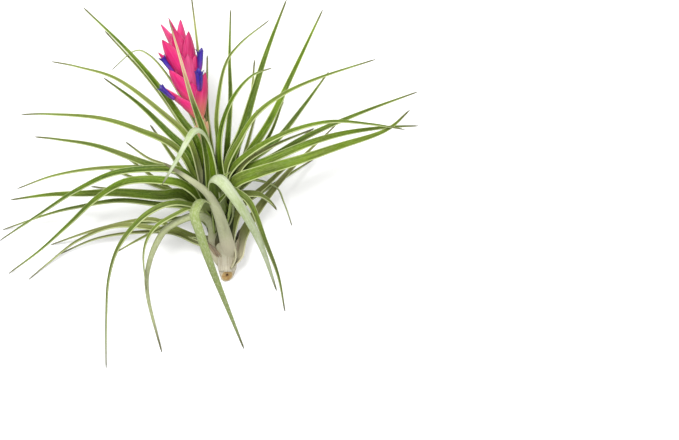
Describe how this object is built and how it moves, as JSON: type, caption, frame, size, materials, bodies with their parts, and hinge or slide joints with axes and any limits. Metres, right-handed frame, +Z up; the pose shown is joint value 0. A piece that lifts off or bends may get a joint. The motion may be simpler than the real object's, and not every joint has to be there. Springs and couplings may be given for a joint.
{
  "type": "stricta air plant in flower",
  "caption": "Air plant lying on its side: arching channelled leaves round a short cut stem, and a pink bract head with violet flowers.",
  "frame": {"origin": "on the table, under the middle of the plant's box", "axes": "+Z up from the table that the plant lies on, +Y from the cut stem end towards the flower head, +X to the right as seen from above"},
  "size_m": [0.21, 0.186, 0.0705],
  "materials": {
    "stem": "dry fibrous bark, cream to tan, with a torn papery sheath and a tan cut end",
    "leaf": "mid green with a fine grey scurf, pale along the edges, grey-brown at the tips",
    "scape": "smooth salmon to orange-green stalk",
    "bract": "satin hot pink, coral at the foot and paler at the tips",
    "petal": "soft blue-violet petal"
  },
  "bodies": {
    "root": {"stem": "stem", "leaf_rosette": "leaf", "scape": "scape", "bract_head": "bract", "flower_1": "petal", "flower_2": "petal", "flower_3": "petal", "flower_4": "petal"}
  },
  "joints": []
}
